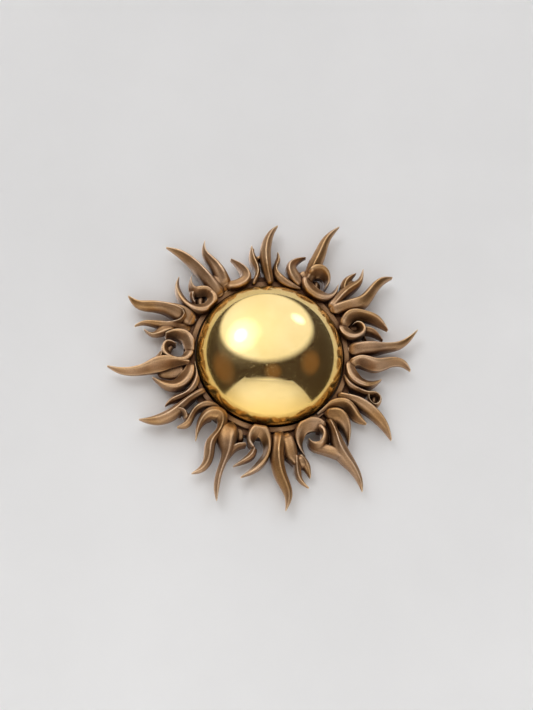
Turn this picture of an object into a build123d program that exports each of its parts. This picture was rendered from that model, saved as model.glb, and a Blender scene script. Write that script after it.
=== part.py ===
from build123d import *
import os
from math import cos, radians, sin

# A wall-hung sunburst ornament: a polished metal dome held in a carrier ring, with
# cast flames screwed round the ring. Millimetres, front towards -Y, +Z up.
# The wall is the plane y = 0, and a depth is a distance out from the wall.

# Dome
DOME_RADIUS = 75.0
DOME_RISE = 45.0
DOME_WALL = 1.2
DOME_RIM_DEPTH = 15.0
DOME_FLANGE_RADIUS = 77.8

# Carrier ring
COLLAR_INNER_RADIUS = 76.3
COLLAR_OUTER_RADIUS = 82.0
COLLAR_DEPTH = 16.0
COLLAR_CHAMFER = 0.6
SEAT_RADIUS = 88.0
SEAT_DEPTH = 12.0
RING_REAR_DEPTH = 2.4
PLATE_RECESS_RADIUS = 82.4
FLANGE_POCKET_RADIUS = 78.2

# Back plate and its pan-head screws
PLATE_RADIUS = 82.0
PLATE_THICKNESS = 1.6
PLATE_FRONT_DEPTH = 8.4
PLATE_SCREW_COUNT = 8
PLATE_SCREW_CIRCLE = 79.8
PAN_HEAD_RADIUS = 2.1
PAN_HEAD_HEIGHT = 1.5
PLATE_SCREW_TIP_DEPTH = 13.4
PLATE_HOLE_DEPTH = 13.8

# Screws that hold the flames, M2.5 countersunk from the rear
FLAME_SCREW_CIRCLE = 85.2
SCREW_RADIUS = 1.25
CLEARANCE_RADIUS = 1.4
TAPPED_RADIUS = 1.3
SINK_RADIUS = 2.35
SINK_HEIGHT = 1.1
SCREW_HEAD_RADIUS = 2.3
FLAME_SCREW_TIP_DEPTH = 16.6
FLAME_HOLE_DEPTH = 17.0

# Felt pad
FELT_INNER_RADIUS = 82.8
FELT_OUTER_RADIUS = 87.4
FELT_THICKNESS = 2.4

# Hanger: a strap curled round an oblong wire ring
HANGER_HEIGHT = 45.0
HANGER_DEPTH = 4.9
RING_WIRE_RADIUS = 1.0
RING_STRAIGHT = 14.0
RING_BEND_RADIUS = 7.0
KNUCKLE_INNER_RADIUS = 1.06
KNUCKLE_OUTER_RADIUS = 1.9
STRAP_THICKNESS = 0.8
STRAP_WIDTH = 12.0
STRAP_LENGTH = 12.0
RIVET_RADIUS = 1.2
RIVET_HEAD_RADIUS = 2.2
RIVET_HEAD_HEIGHT = 0.9
RIVET_SPACING = 6.0
RIVET_DROP = 7.0

# Flames
FLAME_GAP = 0.35
FLAME_FRONT_LIMIT = 30.0
FLAME_REACH = 170.0
COLLAR_CLEARANCE = 0.2
SEAT_EDGE_RADIUS = 88.3
FLAME_REAR_DEPTH = 3.0
FLAME_TIP_REAR_DEPTH = 10.0
# The flames' front surface, as (radius, depth) from the dome's edge out to the tips
FLAME_FRONTS = [(76.5, 20.5), (92, 27.5), (120, 25), (145, 19.5), (FLAME_REACH, 15.5)]

# Each flame is one or more tongues, and a tongue is its centre line from root to tip,
# as (x, z, half width).
FLAMES = {
    "flame_01_spear": [
        [(1, 76.8, 3), (-3, 93, 5.2), (-4.8, 112, 6), (-1.6, 130, 4.7), (4.2, 141.5, 2.3),
         (9, 147.3, 0.4)],
    ],
    "flame_02_tongue": [
        [(33, 74, 0.8), (18.5, 79, 4), (7, 90, 3.8), (5.6, 97, 2.9), (8.8, 108, 2.6), (8.5, 117.3, 0.5)],
    ],
    "flame_03_hook": [
        [(33.5, 77.5, 3), (24, 91, 7), (22.8, 99.5, 5.8), (28, 107, 3.2), (38.6, 112.6, 0.4)],
        [(30, 84, 5), (36, 91.5, 5), (41, 95, 3)],
    ],
    "flame_04_scroll_spear": [
        [(37, 80, 4.5), (45, 98, 7.2), (52.8, 116, 6.4), (60.5, 134, 4.1), (74, 149.2, 0.5)],
        [(38.5, 89, 5), (38.5, 80, 6.2), (49, 68, 6.4), (63.5, 69, 4.2), (72, 83.3, 0.5)],
        [(41, 87, 4.5), (46, 93, 6), (54.5, 93.5, 6), (59.8, 85, 3.4), (56.6, 75.6, 0.5)],
        [(44, 82, 6), (54, 80.5, 5.5)],
    ],
    "flame_05_fork": [
        [(62, 52, 4.5), (80, 57, 7.2), (95, 62.3, 6.9), (109, 79.3, 5), (119, 89.2, 3.5),
         (129.5, 93.3, 0.6)],
        [(62, 53.5, 4.5), (82.5, 76.5, 5.4), (93.5, 86, 3.4), (98.6, 101.6, 0.5)],
        [(77, 72, 4.5), (79.8, 85, 4.3), (91, 96.3, 0.4)],
    ],
    "flame_06_scroll": [
        [(75, 33, 5), (82.5, 45, 6), (97, 47.6, 4.5), (112, 43.3, 4.1), (123.4, 34.6, 0.5)],
        [(74.5, 37, 4.5), (76.5, 29.5, 5.5), (88.5, 25, 5), (95, 32.5, 3.9), (90, 38.2, 1.8),
         (85.5, 36.2, 0.4)],
        [(93.5, 31, 2.6), (104, 31.8, 3.2), (118, 23, 0.5)],
        [(95.5, 28.5, 1.8), (101.5, 21, 0.7)],
        [(80, 36, 4.5), (88, 37.5, 6.5), (100, 39.5, 4)],
    ],
    "flame_07_spear": [
        [(80.5, 10.2, 6.8), (101, 11.4, 7.6), (117.5, 13.9, 4.8), (134.5, 18, 3.7), (154.6, 36.2, 0.5)],
    ],
    "flame_08_loop": [
        [(81.5, -8, 4.6), (91, -2.6, 4.6), (107, -5.6, 6.2), (125, -1.2, 4.5), (138.5, -2, 3.1),
         (146, -9.2, 0.5)],
        [(81.5, -3.5, 4), (84, -17.5, 6), (99, -26.6, 5.4), (115.3, -19.6, 0.8)],
    ],
    "flame_09_curl": [
        [(75.8, -17, 0.9), (81.5, -28, 3), (92, -34.3, 3.4), (101, -37, 3), (108, -37, 2.2),
         (112.6, -42.5, 1.9), (108.8, -48.6, 1.9), (104.4, -48, 1)],
        [(101, -37, 2.2), (101, -43.5, 1.9), (105.5, -48.4, 1.7)],
        [(102, -42.7, 4.6), (111.6, -42.7, 4.6)],
    ],
    "flame_10_spear": [
        [(68.5, -39.3, 2.6), (87, -45.8, 4.7), (104, -56, 5.6), (117, -70, 4.1), (124.2, -84.8, 0.5)],
    ],
    "flame_11_tongue": [
        [(47.5, -62.3, 1.2), (61, -51.2, 3.6), (77, -50, 5), (88.5, -61, 4.6), (99.2, -67.6, 0.6)],
    ],
    "flame_12_scroll_spear": [
        [(58.5, -64.5, 4.5), (64.8, -79, 4.6), (70.5, -97, 7.6), (83, -114.3, 5.3), (91, -129.5, 2.7),
         (93.2, -139.6, 0.4)],
        [(55, -60.5, 3.5), (68, -62.5, 8), (77, -73.5, 5.6), (79.6, -92, 0.4)],
        [(56, -78, 4), (48.5, -73.5, 7), (34.5, -76, 7.2), (29.6, -90, 4.4), (37, -105.6, 0.4)],
        [(47, -70.5, 5), (56, -82, 4.4), (50.5, -95, 5), (41.8, -92.8, 2.6), (38.6, -87.2, 0.4)],
        [(44, -94.5, 4), (57, -97.5, 5), (69, -103, 4)],
        [(59, -62, 5), (66, -69, 4.5), (70.5, -75.5, 2.6)],
    ],
    "flame_13_fork_spear": [
        [(11, -80.5, 7.2), (7.2, -101, 7.4), (12, -127.5, 6), (18.9, -146, 4), (16.2, -161.6, 0.4)],
        [(15, -82, 5), (21.5, -100, 4.6), (26, -115, 3.2)],
        [(27.5, -103.5, 2.8), (28, -118, 3.8), (31, -129, 2.4), (40, -137.2, 0.4)],
        [(28, -104, 3.5), (36.3, -113.8, 4.2), (41.2, -127, 0.3)],
        [(12, -88, 6), (17.5, -99, 5.5), (19, -105, 4)],
    ],
    "flame_14_scroll": [
        [(-14.5, -99, 2.2), (-19.6, -92, 3.7), (-12, -82, 7.4), (-3, -94.5, 4.3), (-7.4, -112, 4.1),
         (-17.5, -121.5, 2.9), (-28.6, -127.9, 0.5)],
        [(-15, -97.5, 3), (-17.5, -104.5, 4), (-27, -112, 2.5), (-36.6, -117.1, 0.4)],
    ],
    "flame_15_spear": [
        [(-37, -73, 6.4), (-41.2, -88, 9.5), (-42.5, -103, 5), (-49.6, -123, 3.3), (-52.6, -144, 2.3),
         (-52.2, -153.3, 0.5)],
        [(-38, -103, 3), (-33, -97, 2.6), (-24.8, -95.2, 1.4)],
        [(-44, -80, 6), (-49, -91, 4.5), (-51.5, -96, 2.8)],
        [(-31, -78, 4.5), (-30, -93, 4.5)],
    ],
    "flame_16_hook_spear": [
        [(-73.6, -91.6, 0.4), (-70.8, -76.5, 3.1), (-61, -65.3, 6), (-50, -66.3, 6.4),
         (-49.5, -79, 4.2), (-58.8, -94, 5.2), (-61.2, -110.5, 4.9), (-68, -121.3, 3.2),
         (-77.5, -126, 0.5)],
    ],
    "flame_17_spear": [
        [(-65, -39, 3), (-81.5, -51, 3.9), (-97, -65, 5.8), (-115.5, -72.3, 4.4), (-131.2, -71.6, 0.4)],
        [(-93, -60, 5), (-89.5, -67, 3.5)],
    ],
    "flame_18_tongue": [
        [(-50, -58.6, 1.8), (-62, -55.2, 3.2), (-77, -64.2, 3.4), (-83, -74.4, 3.6), (-92.8, -77.8, 0.5)],
        [(-83.5, -72, 2), (-86, -64.6, 2), (-92.6, -62.2, 0.5)],
    ],
    "flame_19_sliver": [
        [(-76.2, -8.5, 0.7), (-74.6, -30, 3.4), (-85, -44.5, 3.8), (-99.5, -51, 2.6),
         (-105.3, -56.3, 0.4)],
    ],
    "flame_20_scoop_spear": [
        [(-80.5, -12, 1.8), (-97, -11.5, 4.6), (-113, -14.2, 7.8), (-126, -18.8, 5.4),
         (-138, -21.5, 4.2), (-152, -20.8, 2.9), (-164.6, -16.5, 0.5)],
        [(-80.5, -12.5, 3), (-82.5, -22, 5.8), (-94.5, -34.4, 6.4), (-108, -32.2, 3.7),
         (-118.6, -26, 0.5)],
        [(-84, -18, 5), (-100, -21, 6), (-113, -22, 4)],
        [(-118.5, -13.5, 4), (-111.5, -7, 5), (-109.5, -0.5, 3)],
    ],
    "flame_21_scroll": [
        [(-81.5, -2, 5.2), (-82.2, 6, 6), (-87, 15.5, 5.6), (-96, 19, 4), (-106.5, 18, 2)],
        [(-80.5, 3, 5), (-86, -6.4, 4.2), (-97, -7.2, 3.4), (-106.6, 0, 4.2), (-104.6, 8.6, 3),
         (-95, 8.4, 0.5)],
        [(-104, -1, 3), (-102, 4.5, 2.8), (-97.5, 7.5, 1)],
    ],
    "flame_22_claw": [
        [(-76, 33.5, 7), (-92, 41.5, 9), (-105, 46.8, 5.8), (-120, 49.8, 5.4), (-135, 51.6, 4),
         (-145.6, 60.8, 0.4)],
        [(-80, 28, 4.5), (-100, 28.8, 4.6), (-119, 31.4, 3), (-131, 31.4, 1.7), (-138.3, 28, 0.4)],
        [(-96, 27.5, 5), (-107.5, 24.8, 5.4), (-119.8, 20, 2), (-128.8, 25.8, 0.3)],
        [(-112, 49.5, 0.8), (-104, 48.3, 2), (-95, 45.6, 2.8), (-88.8, 40, 3), (-91.5, 33.6, 2.8),
         (-100, 31.2, 1.8), (-111, 31.6, 0.6)],
    ],
    "flame_23_scroll": [
        [(-65.5, 67, 3.4), (-59.5, 58.5, 5.6), (-65, 48.6, 5.4), (-80, 49, 5), (-92, 62, 3.8),
         (-95.4, 76, 2.1), (-93.6, 84.8, 0.4)],
        [(-59.5, 61, 4.5), (-66, 67, 4.6), (-77, 67.2, 4.6), (-81.7, 76, 2.3), (-80.8, 86.3, 0.4)],
        [(-79, 69, 4), (-79.5, 59, 2.4), (-77, 53.5, 0.8)],
        [(-77, 57, 6), (-65, 57, 6)],
    ],
    "flame_24_twin_spear": [
        [(-44.5, 70.8, 7.5), (-52, 87, 7.6), (-60.5, 101.5, 5.5), (-68, 113.5, 2.8), (-67.8, 126.3, 0.4)],
        [(-50, 62.5, 7), (-65.5, 81.5, 6.2), (-79.5, 98.6, 4.9), (-94.5, 110.6, 3.6), (-108, 116.8, 0.4)],
        [(-63.5, 69.5, 1.6), (-68.2, 80, 0.5)],
        [(-46, 68, 9), (-53.5, 79.5, 8.5), (-58.5, 87.5, 4.5)],
    ],
    "flame_25_hook": [
        [(-47, 75.5, 4.5), (-35.5, 75.2, 5.2), (-25.3, 82, 5.5), (-27.2, 94, 4.2), (-40.8, 107.3, 0.4)],
    ],
    "flame_26_fork": [
        [(-18.5, 76.5, 2.2), (-13, 91, 3), (-17.2, 107.5, 4), (-18.7, 123.3, 0.4)],
        [(-17.5, 108, 2.6), (-16.3, 119.7, 0.3)],
        [(-15, 106.5, 2.4), (-5, 111, 2.6)],
    ],
}

# Angles of each flame's screws round the ring, in degrees from +X towards +Z
SCREW_ANGLES = {
    "flame_01_spear": [91],
    "flame_02_tongue": [82],
    "flame_03_hook": [69.5],
    "flame_04_scroll_spear": [52, 62],
    "flame_05_fork": [40],
    "flame_06_scroll": [17, 26],
    "flame_07_spear": [7],
    "flame_08_loop": [348, 356],
    "flame_09_curl": [341],
    "flame_10_spear": [331],
    "flame_11_tongue": [325],
    "flame_12_scroll_spear": [293, 303, 315],
    "flame_13_fork_spear": [277],
    "flame_14_scroll": [258, 266],
    "flame_15_spear": [244],
    "flame_16_hook_spear": [229, 236],
    "flame_17_spear": [211.5],
    "flame_18_tongue": [220.5],
    "flame_19_sliver": [205],
    "flame_20_scoop_spear": [190, 198],
    "flame_21_scroll": [172, 183],
    "flame_22_claw": [155],
    "flame_23_scroll": [135, 146],
    "flame_24_twin_spear": [128],
    "flame_25_hook": [106, 112],
    "flame_26_fork": [100],
}

# A flame that passes behind another is cut back along its edge
PASSES_BEHIND = {
    "flame_26_fork": ["flame_01_spear"],
    "flame_03_hook": ["flame_02_tongue", "flame_04_scroll_spear"],
    "flame_05_fork": ["flame_04_scroll_spear", "flame_06_scroll"],
    "flame_09_curl": ["flame_08_loop"],
    "flame_10_spear": ["flame_09_curl", "flame_11_tongue"],
    "flame_11_tongue": ["flame_12_scroll_spear"],
    "flame_13_fork_spear": ["flame_12_scroll_spear", "flame_14_scroll"],
    "flame_15_spear": ["flame_14_scroll", "flame_16_hook_spear"],
    "flame_18_tongue": ["flame_16_hook_spear"],
    "flame_17_spear": ["flame_18_tongue", "flame_19_sliver"],
    "flame_19_sliver": ["flame_20_scoop_spear"],
    "flame_20_scoop_spear": ["flame_21_scroll"],
    "flame_22_claw": ["flame_21_scroll", "flame_23_scroll"],
    "flame_24_twin_spear": ["flame_23_scroll"],
    "flame_25_hook": ["flame_24_twin_spear", "flame_26_fork"],
}


def front_plane(depth):
    """The plane at this depth, facing the viewer, with its x along +X and its y along +Z."""
    return Plane.XZ.offset(depth)


def ring_point(radius, angle):
    return (radius * cos(radians(angle)), radius * sin(radians(angle)))


def finish(part, name):
    part.label = name
    export_step(part, f"parts/{name}.step")


def tongue_sides(tongue, extra):
    """The two long edges of a tongue, as points, each moved out by extra."""
    spine = Edge.make_spline([Vector(x, z) for x, z, half_width in tongue])
    left = []
    right = []
    for x, z, half_width in tongue:
        along = spine.tangent_at(spine.param_at_point((x, z)))
        across = Vector(-along.Y, along.X) * (half_width + extra)
        left.append(Vector(x, z) + across)
        right.append(Vector(x, z) - across)
    return left, right


def flame_outline(name, extra=0.0):
    """The front view of a flame, as one sketch in the plane z = 0."""
    with BuildSketch(Plane.XY) as outline:
        for tongue in FLAMES[name]:
            left, right = tongue_sides(tongue, extra)
            with BuildLine():
                Spline(*left)
                Line(left[-1], right[-1])
                Spline(*right)
                Line(left[0], right[0])
            make_face()
    return outline.sketch


os.makedirs("parts", exist_ok=True)

plate_rear_depth = PLATE_FRONT_DEPTH - PLATE_THICKNESS
flange_front_depth = PLATE_FRONT_DEPTH + DOME_WALL
plate_screw_angles = [360 / PLATE_SCREW_COUNT * (i + 0.5) for i in range(PLATE_SCREW_COUNT)]
plate_screw_points = [ring_point(PLATE_SCREW_CIRCLE, angle) for angle in plate_screw_angles]
flame_screw_points = [
    ring_point(FLAME_SCREW_CIRCLE, angle) for angles in SCREW_ANGLES.values() for angle in angles
]

# Dome: a thin shell with an outward flange at its rear edge
with BuildPart() as sun_dome:
    with BuildSketch(Plane.XY):
        with BuildLine():
            outer = EllipticalCenterArc(
                (0, -DOME_RIM_DEPTH), DOME_RADIUS, DOME_RISE, start_angle=270, arc_size=90
            )
            inner = EllipticalCenterArc(
                (0, -DOME_RIM_DEPTH), DOME_RADIUS - DOME_WALL, DOME_RISE - DOME_WALL,
                start_angle=270, arc_size=90
            )
            Polyline(
                outer @ 1,
                (DOME_RADIUS, -flange_front_depth),
                (DOME_FLANGE_RADIUS, -flange_front_depth),
                (DOME_FLANGE_RADIUS, -PLATE_FRONT_DEPTH),
                (DOME_RADIUS - DOME_WALL, -PLATE_FRONT_DEPTH),
                inner @ 1,
            )
            Line(outer @ 0, inner @ 0)
        make_face()
    revolve(axis=Axis.Y)
finish(sun_dome.part, "sun_dome")

# Carrier ring: a collar round the dome, a lower seat for the flames outside it, and
# recesses at the rear for the dome's flange and the back plate
with BuildPart() as carrier_ring:
    with BuildSketch(Plane.XY):
        with BuildLine():
            Polyline(
                (COLLAR_INNER_RADIUS, -flange_front_depth),
                (COLLAR_INNER_RADIUS, -COLLAR_DEPTH + COLLAR_CHAMFER),
                (COLLAR_INNER_RADIUS + COLLAR_CHAMFER, -COLLAR_DEPTH),
                (COLLAR_OUTER_RADIUS - COLLAR_CHAMFER, -COLLAR_DEPTH),
                (COLLAR_OUTER_RADIUS, -COLLAR_DEPTH + COLLAR_CHAMFER),
                (COLLAR_OUTER_RADIUS, -SEAT_DEPTH),
                (SEAT_RADIUS, -SEAT_DEPTH),
                (SEAT_RADIUS, -RING_REAR_DEPTH),
                (PLATE_RECESS_RADIUS, -RING_REAR_DEPTH),
                (PLATE_RECESS_RADIUS, -PLATE_FRONT_DEPTH),
                (FLANGE_POCKET_RADIUS, -PLATE_FRONT_DEPTH),
                (FLANGE_POCKET_RADIUS, -flange_front_depth),
                close=True,
            )
        make_face()
    revolve(axis=Axis.Y)
    with BuildSketch(front_plane(PLATE_FRONT_DEPTH)):
        with Locations(*plate_screw_points):
            Circle(TAPPED_RADIUS)
    extrude(amount=PLATE_HOLE_DEPTH - PLATE_FRONT_DEPTH, mode=Mode.SUBTRACT)
    with BuildSketch(front_plane(RING_REAR_DEPTH)):
        with Locations(*flame_screw_points):
            Circle(CLEARANCE_RADIUS)
    extrude(amount=SEAT_DEPTH - RING_REAR_DEPTH, mode=Mode.SUBTRACT)
    for x, z in flame_screw_points:
        with Locations(Plane(origin=(x, -RING_REAR_DEPTH, z), z_dir=(0, -1, 0))):
            Cone(
                SINK_RADIUS, CLEARANCE_RADIUS, SINK_HEIGHT,
                align=(Align.CENTER, Align.CENTER, Align.MIN), mode=Mode.SUBTRACT
            )
finish(carrier_ring.part, "carrier_ring")

# Back plate: closes the dome and clamps its flange
rivet_points = [
    (side * RIVET_SPACING / 2, HANGER_HEIGHT - RIVET_DROP) for side in (-1, 1)
]
with BuildPart() as back_plate:
    with BuildSketch(front_plane(plate_rear_depth)):
        Circle(PLATE_RADIUS)
        with Locations(*plate_screw_points):
            Circle(CLEARANCE_RADIUS, mode=Mode.SUBTRACT)
        with Locations(*rivet_points):
            Circle(RIVET_RADIUS, mode=Mode.SUBTRACT)
    extrude(amount=PLATE_THICKNESS)
finish(back_plate.part, "back_plate")

with BuildPart() as back_plate_screws:
    with BuildSketch(front_plane(plate_rear_depth - PAN_HEAD_HEIGHT)):
        with Locations(*plate_screw_points):
            Circle(PAN_HEAD_RADIUS)
    extrude(amount=PAN_HEAD_HEIGHT)
    with BuildSketch(front_plane(plate_rear_depth)):
        with Locations(*plate_screw_points):
            Circle(SCREW_RADIUS)
    extrude(amount=PLATE_SCREW_TIP_DEPTH - plate_rear_depth)
finish(back_plate_screws.part, "back_plate_screws")

with BuildPart() as felt_ring:
    with BuildSketch(front_plane(0)):
        Circle(FELT_OUTER_RADIUS)
        Circle(FELT_INNER_RADIUS, mode=Mode.SUBTRACT)
    extrude(amount=FELT_THICKNESS)
finish(felt_ring.part, "felt_ring")

# Hanger strap: flat against the back plate, curled round the ring's upper bar
strap_rear_depth = plate_rear_depth - STRAP_THICKNESS
with BuildPart() as hanger_strap:
    with BuildSketch(Plane.YZ.offset(-STRAP_WIDTH / 2)):
        with Locations((-HANGER_DEPTH, HANGER_HEIGHT)):
            Circle(KNUCKLE_OUTER_RADIUS)
        with Locations((-plate_rear_depth, HANGER_HEIGHT)):
            Rectangle(STRAP_THICKNESS, STRAP_LENGTH, align=(Align.MIN, Align.MAX))
        with Locations((-HANGER_DEPTH, HANGER_HEIGHT)):
            Circle(KNUCKLE_INNER_RADIUS, mode=Mode.SUBTRACT)
    extrude(amount=STRAP_WIDTH)
    with BuildSketch(front_plane(strap_rear_depth)):
        with Locations(*rivet_points):
            Circle(RIVET_RADIUS)
    extrude(amount=STRAP_THICKNESS, mode=Mode.SUBTRACT)
finish(hanger_strap.part, "hanger_strap")

with BuildPart() as hanger_rivets:
    with BuildSketch(front_plane(strap_rear_depth)):
        with Locations(*rivet_points):
            Circle(RIVET_RADIUS)
    extrude(amount=PLATE_FRONT_DEPTH - strap_rear_depth)
    with BuildSketch(front_plane(PLATE_FRONT_DEPTH)):
        with Locations(*rivet_points):
            Circle(RIVET_HEAD_RADIUS)
    extrude(amount=RIVET_HEAD_HEIGHT)
finish(hanger_rivets.part, "hanger_rivets")

# Hanger ring: an oblong wire ring, hanging from its upper bar
ring_centre_height = HANGER_HEIGHT - RING_BEND_RADIUS
with BuildPart() as hanger_ring:
    with BuildLine(front_plane(HANGER_DEPTH)):
        half = RING_STRAIGHT / 2
        top = ring_centre_height + RING_BEND_RADIUS
        bottom = ring_centre_height - RING_BEND_RADIUS
        Line((-half, top), (half, top))
        ThreePointArc((half, top), (half + RING_BEND_RADIUS, ring_centre_height), (half, bottom))
        Line((half, bottom), (-half, bottom))
        ThreePointArc((-half, bottom), (-half - RING_BEND_RADIUS, ring_centre_height), (-half, top))
    with BuildSketch(Plane.YZ.offset(-half)):
        with Locations((-HANGER_DEPTH, top)):
            Circle(RING_WIRE_RADIUS)
    sweep()
finish(hanger_ring.part, "hanger_ring")

# Flames: each is its outline within a turned envelope, which steps over the collar,
# sits on the ring's seat, drops behind the ring's edge and leans out towards the tips
with BuildPart() as flame_envelope:
    with BuildSketch(Plane.XY):
        with BuildLine():
            front = Spline(*[(radius, -depth) for radius, depth in FLAME_FRONTS])
            Polyline(
                front @ 1,
                (FLAME_REACH, -FLAME_TIP_REAR_DEPTH),
                (SEAT_EDGE_RADIUS, -FLAME_REAR_DEPTH),
                (SEAT_EDGE_RADIUS, -SEAT_DEPTH),
                (COLLAR_OUTER_RADIUS + COLLAR_CLEARANCE, -SEAT_DEPTH),
                (COLLAR_OUTER_RADIUS + COLLAR_CLEARANCE, -COLLAR_DEPTH - COLLAR_CLEARANCE),
                (FLAME_FRONTS[0][0], -COLLAR_DEPTH - COLLAR_CLEARANCE),
                front @ 0,
            )
        make_face()
    revolve(axis=Axis.Y)

for name, angles in SCREW_ANGLES.items():
    screw_points = [ring_point(FLAME_SCREW_CIRCLE, angle) for angle in angles]
    outline = flame_outline(name)
    neighbours = [flame_outline(other, FLAME_GAP) for other in PASSES_BEHIND.get(name, [])]
    with BuildPart() as flame:
        with BuildSketch(front_plane(0)):
            add(outline)
            add(neighbours, mode=Mode.SUBTRACT)
        extrude(amount=FLAME_FRONT_LIMIT)
        add(flame_envelope.part, mode=Mode.INTERSECT)
        with BuildSketch(front_plane(SEAT_DEPTH)):
            with Locations(*screw_points):
                Circle(TAPPED_RADIUS)
        extrude(amount=FLAME_HOLE_DEPTH - SEAT_DEPTH, mode=Mode.SUBTRACT)
    finish(flame.part, name)

with BuildPart() as flame_screws:
    for x, z in flame_screw_points:
        with Locations(Plane(origin=(x, -RING_REAR_DEPTH, z), z_dir=(0, -1, 0))):
            Cone(
                SCREW_HEAD_RADIUS, SCREW_RADIUS, SINK_HEIGHT,
                align=(Align.CENTER, Align.CENTER, Align.MIN)
            )
    with BuildSketch(front_plane(RING_REAR_DEPTH + SINK_HEIGHT)):
        with Locations(*flame_screw_points):
            Circle(SCREW_RADIUS)
    extrude(amount=FLAME_SCREW_TIP_DEPTH - RING_REAR_DEPTH - SINK_HEIGHT)
finish(flame_screws.part, "flame_screws")
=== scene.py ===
import bpy
import math
import numpy as np
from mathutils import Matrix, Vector

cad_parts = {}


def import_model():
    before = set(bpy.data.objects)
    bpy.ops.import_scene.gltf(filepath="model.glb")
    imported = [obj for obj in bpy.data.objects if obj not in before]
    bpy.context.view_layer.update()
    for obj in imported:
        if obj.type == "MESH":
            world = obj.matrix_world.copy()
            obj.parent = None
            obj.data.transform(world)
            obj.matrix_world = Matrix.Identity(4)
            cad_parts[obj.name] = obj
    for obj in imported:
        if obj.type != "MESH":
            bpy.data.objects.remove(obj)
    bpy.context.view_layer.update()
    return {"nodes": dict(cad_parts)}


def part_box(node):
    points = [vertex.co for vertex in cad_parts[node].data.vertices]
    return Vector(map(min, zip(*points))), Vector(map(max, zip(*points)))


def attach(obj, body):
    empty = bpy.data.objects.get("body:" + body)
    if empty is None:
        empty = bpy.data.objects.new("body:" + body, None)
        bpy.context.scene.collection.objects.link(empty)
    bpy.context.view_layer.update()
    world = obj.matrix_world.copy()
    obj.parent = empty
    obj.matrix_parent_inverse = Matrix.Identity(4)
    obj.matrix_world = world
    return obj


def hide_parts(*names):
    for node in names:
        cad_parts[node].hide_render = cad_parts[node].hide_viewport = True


# A wall-hung sunburst: a polished dome in a ring of cast bronze flames. The CAD frame gives
# the ring, the back and the hanger. The dome and the flames are rebuilt here in finer detail.
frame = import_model()

# Sizes below are in millimetres. A depth is a distance out from the wall, and a radius is
# measured from the dome's axis.
MM = 0.001

# Where the flames stand: the ring's seat, its collar, and the dome's edge
SEAT_DEPTH = 12.05
SEAT_RADIUS = 88.2
COLLAR_DEPTH = 16.1
COLLAR_RADIUS = 82.1
INNER_RADIUS = 76.6
REAR_DEPTH = 3.2

# The flames' lean out from the wall beyond the seat, and the share of it that their fronts take
LEAN = 0.085
FRONT_LEAN = 0.8

# A tongue's section: the height of its edges as a share of the whole, the run over which they
# ease from the collar down to the back, its back's (place across, share of edge height), and
# the least half width and thickness
EDGE_SHARE = 0.42
EDGE_RUN = 18.0
BACK_OUTLINE = [(0.93, 0.2), (0.75, 0.0), (-0.75, 0.0), (-0.93, 0.2)]
LEAST_HALF_WIDTH = 0.3
LEAST_THICKNESS = 1.0

# A tongue's front: a web is nearly flat, a side narrower than NARROW_SIDE is plainly round, a
# crest past BAND_CREST makes a hollow band with a raised rim, and all others have a ridge. The
# powers say how sharply each one curves.
WEB = 9
WEB_FALL = 0.6
WEB_POWER = 4
NARROW_SIDE = 0.7
BAND_CREST = 0.5
RIM_SHARE = 0.22
HOLLOW_FLOOR = 0.1
HOLLOW_POWER = 1.5
RIM_POWER = 1.6
RIDGE_SHARE = 0.42
RIDGE_HEIGHT = 0.2
RIDGE_POWER = 1.3
FLANK_POWER = 3

# A tongue's rounded root: its length in root half widths, its bluntness, and its height at the
# very end
NOSE_SHARE = 1.3
NOSE_BLUNTNESS = 0.02
ROOT_HEIGHT = 0.15

# Where flames come up to the dome, they round down to just above the collar
CROWN_HEIGHT = 9.0
CROWN_REACH = 3.5
CROWN_LIP = 1.5

# Mesh fineness. On the inside of a bend, a tongue reaches no further than TURN_SHARE of the
# bend's radius, averaged over BEND_SPAN sections.
SECTION_STEP = 1.1
HALF_SAMPLES = 11
TURN_SHARE = 0.9
BEND_SPAN = 7
LEAST_BEND = 1e-6
VOXEL_SIZE = 0.62
SOFTEN_FACTOR = 0.5
SOFTEN_PASSES = 2

# The dome and its fineness
DOME_RADIUS = 75.0
DOME_RISE = 45.0
DOME_WALL = 1.2
DOME_SEGMENTS = 256
DOME_RINGS = 96
INNER_RING_STEP = 4
SHARP_ANGLE = 40

# Its brass takes a painted amber reflection and grows a little rougher towards the rim, and then
# painted shade makes it dark, between the depths
PAINTED_RIM_REFLECTION = (1.0, 0.62, 0.13, 1.0)
REFLECTION_DEPTHS = (46.0, 28.0)
REFLECTION_SHARE = 0.85
AMBER_ROUGHNESS = 0.13
CREVICE_SHADE = (0.03, 0.018, 0.01, 1.0)
CREVICE_SHADE_DEPTHS = (18.5, 16.5)

# Bronze: the wear of a plain surface, where 0.5 is neither ridge nor hollow, how much it varies
# with the clouding, and the reach in metres of the grime and painted shade in its corners
PLAIN_WEAR = 0.5
CLOUD_WEAR = 0.035
GRIME_AND_SHADE_REACH = 0.014

# Noise: its middle value, and how much finer a painted or plated surface's grain is than its
# mottling
NOISE_MIDDLE = 0.5
GRAIN_FINENESS = 20

# The studio, in metres
WALL_HALF = 1.6
WALL_TOP = 1.6
WALL_Y = 0.0006
FLOOR_Z = -1.3
FLOOR_HALF = 1.7
FLOOR_REACH = 3.2

# Lamps, as (name, place, aim, size, power in watts)
LAMPS = [
    ("rear", (-0.6, 1.4, 0.7), (0, 0, 0), 1.0, 14.0),
    ("floor_wash", (0, -1.7, -0.75), (0, -1.7, FLOOR_Z), 2.8, 13.0),
]

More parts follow.
